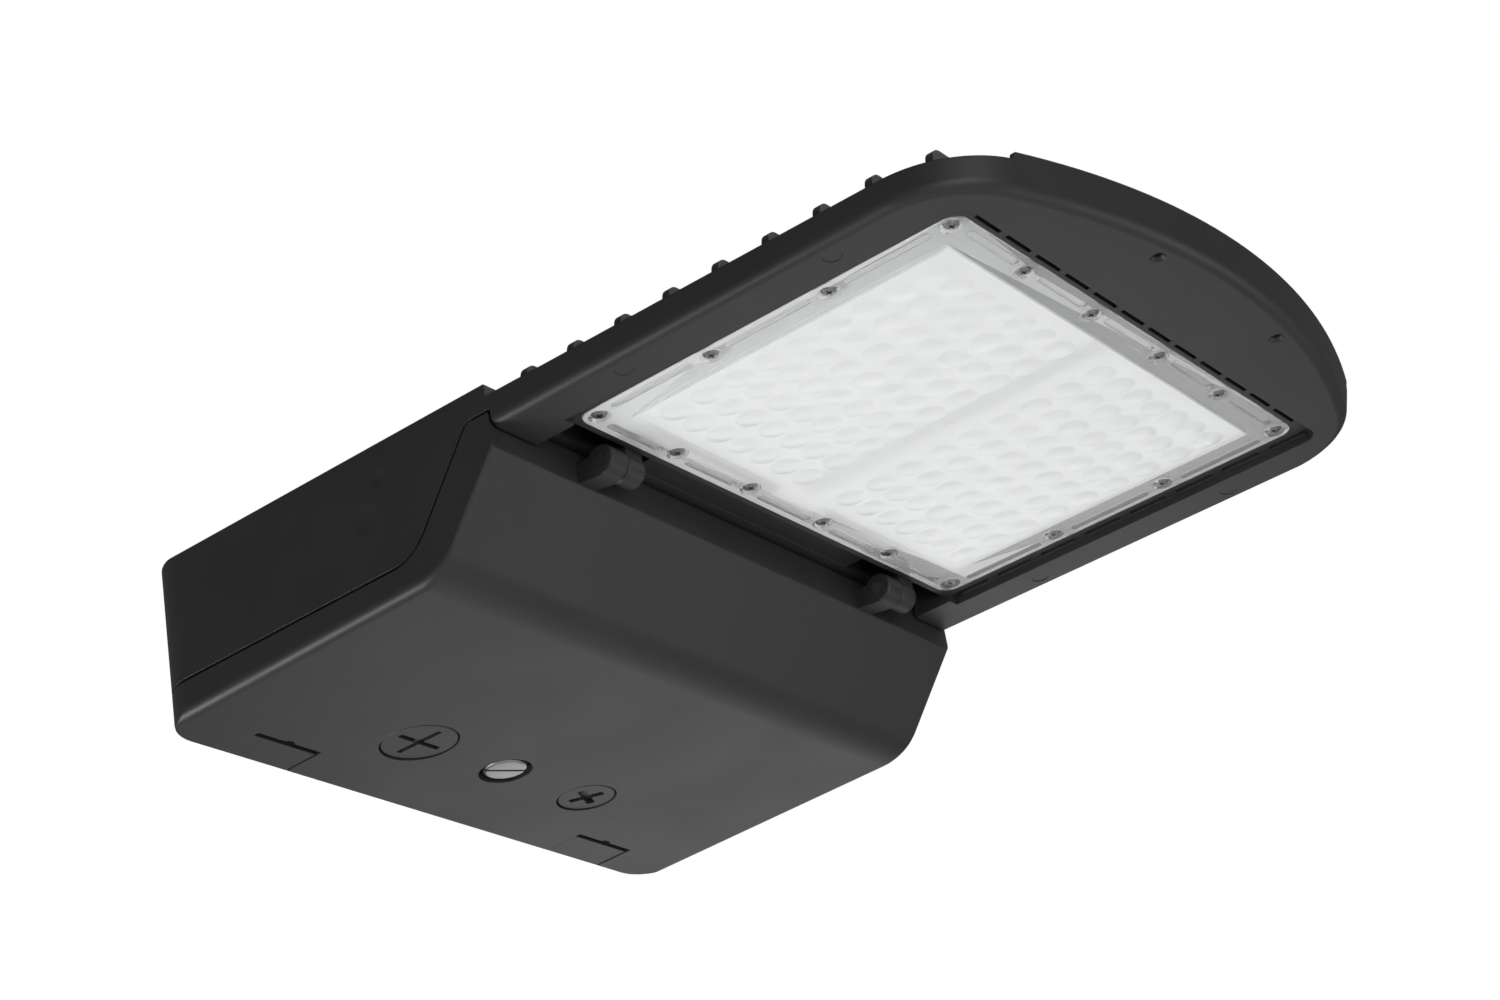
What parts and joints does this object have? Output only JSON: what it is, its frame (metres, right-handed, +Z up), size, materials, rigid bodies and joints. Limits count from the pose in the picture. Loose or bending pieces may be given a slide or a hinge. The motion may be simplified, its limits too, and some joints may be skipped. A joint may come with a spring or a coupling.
{
  "type": "shoebox area light",
  "caption": "Pole-mounted LED area light: finned cast head with a domed clear optic, and a driver box with a hinged door below.",
  "frame": {"origin": "middle of the rear wall's outer face, which meets the pole or arm", "axes": "+X from the pole to the nose, +Z up, light shines to -Z, +Y to the left seen from the pole"},
  "size_m": [0.4742, 0.3386, 0.0781],
  "materials": {
    "cast_paint": "satin dark charcoal powder coat",
    "bright_screw": "bright turned steel",
    "pin_steel": "ground steel",
    "rubber": "matt silicone",
    "clear_optic": "clear moulded plastic",
    "white_board": "white solder mask",
    "white_plastic": "matt",
    "driver_case": "satin",
    "dark_plastic": "matt",
    "green_screw": "green passivated",
    "lead_red": "satin insulation",
    "lead_black": "satin insulation",
    "lead_white": "satin insulation"
  },
  "bodies": {
    "housing": {"housing": "cast_paint", "hinge_pin_right": "pin_steel", "hinge_pin_left": "pin_steel", "optic": "clear_optic", "optic_gasket": "rubber", "optic_screw_1": "bright_screw", "optic_screw_2": "bright_screw", "optic_screw_3": "bright_screw", "optic_screw_4": "bright_screw", "optic_screw_5": "bright_screw", "optic_screw_6": "bright_screw", "optic_screw_7": "bright_screw", "optic_screw_8": "bright_screw", "optic_screw_9": "bright_screw", "optic_screw_10": "bright_screw", "optic_screw_11": "bright_screw", "optic_screw_12": "bright_screw", "optic_screw_13": "bright_screw", "optic_screw_14": "bright_screw", "optic_screw_15": "bright_screw", "optic_screw_16": "bright_screw", "led_board_right": "white_board", "board_screw_right_rear": "bright_screw", "board_screw_right_front": "bright_screw", "led_board_left": "white_board", "board_screw_left_rear": "bright_screw", "board_screw_left_front": "bright_screw", "board_connector": "white_plastic", "driver": "driver_case", "surge_protector": "dark_plastic", "terminal_block": "dark_plastic", "driver_screw_rear": "bright_screw", "driver_screw_front": "bright_screw", "surge_screw_rear": "bright_screw", "surge_screw_front": "bright_screw", "terminal_screw_right": "bright_screw", "terminal_screw_left": "bright_screw", "ground_screw": "green_screw", "wire_seal": "rubber", "output_lead_black": "lead_black", "output_lead_red": "lead_red", "input_lead_black": "lead_black", "input_lead_white": "lead_white"},
    "door": {"door": "cast_paint", "door_gasket": "rubber", "large_plug": "cast_paint", "large_plug_seal": "rubber", "small_plug": "cast_paint", "small_plug_seal": "rubber"},
    "retaining_ring": {"retaining_ring": "pin_steel"},
    "captive_screw": {"captive_screw": "bright_screw"}
  },
  "joints": [
    {"name": "door_hinge", "type": "hinge", "parent": "housing", "child": "door", "pos_m": [0.2163, 0, 0.0071], "axis": [0, -1, 0], "range_deg": [0, 90]},
    {"name": "screw_travel", "type": "slide", "parent": "door", "child": "retaining_ring", "axis": [0, 0, -1], "range_m": [0, 0.0055]},
    {"name": "screw_turn", "type": "hinge", "parent": "retaining_ring", "child": "captive_screw", "pos_m": [0.0536, 0, -0.04], "axis": [0, 0, -1], "range_deg": [0, 1585]}
  ],
  "couplings": [
    {"joint": "screw_turn", "follows": "screw_travel", "rad_per_m": 5026.5}
  ]
}
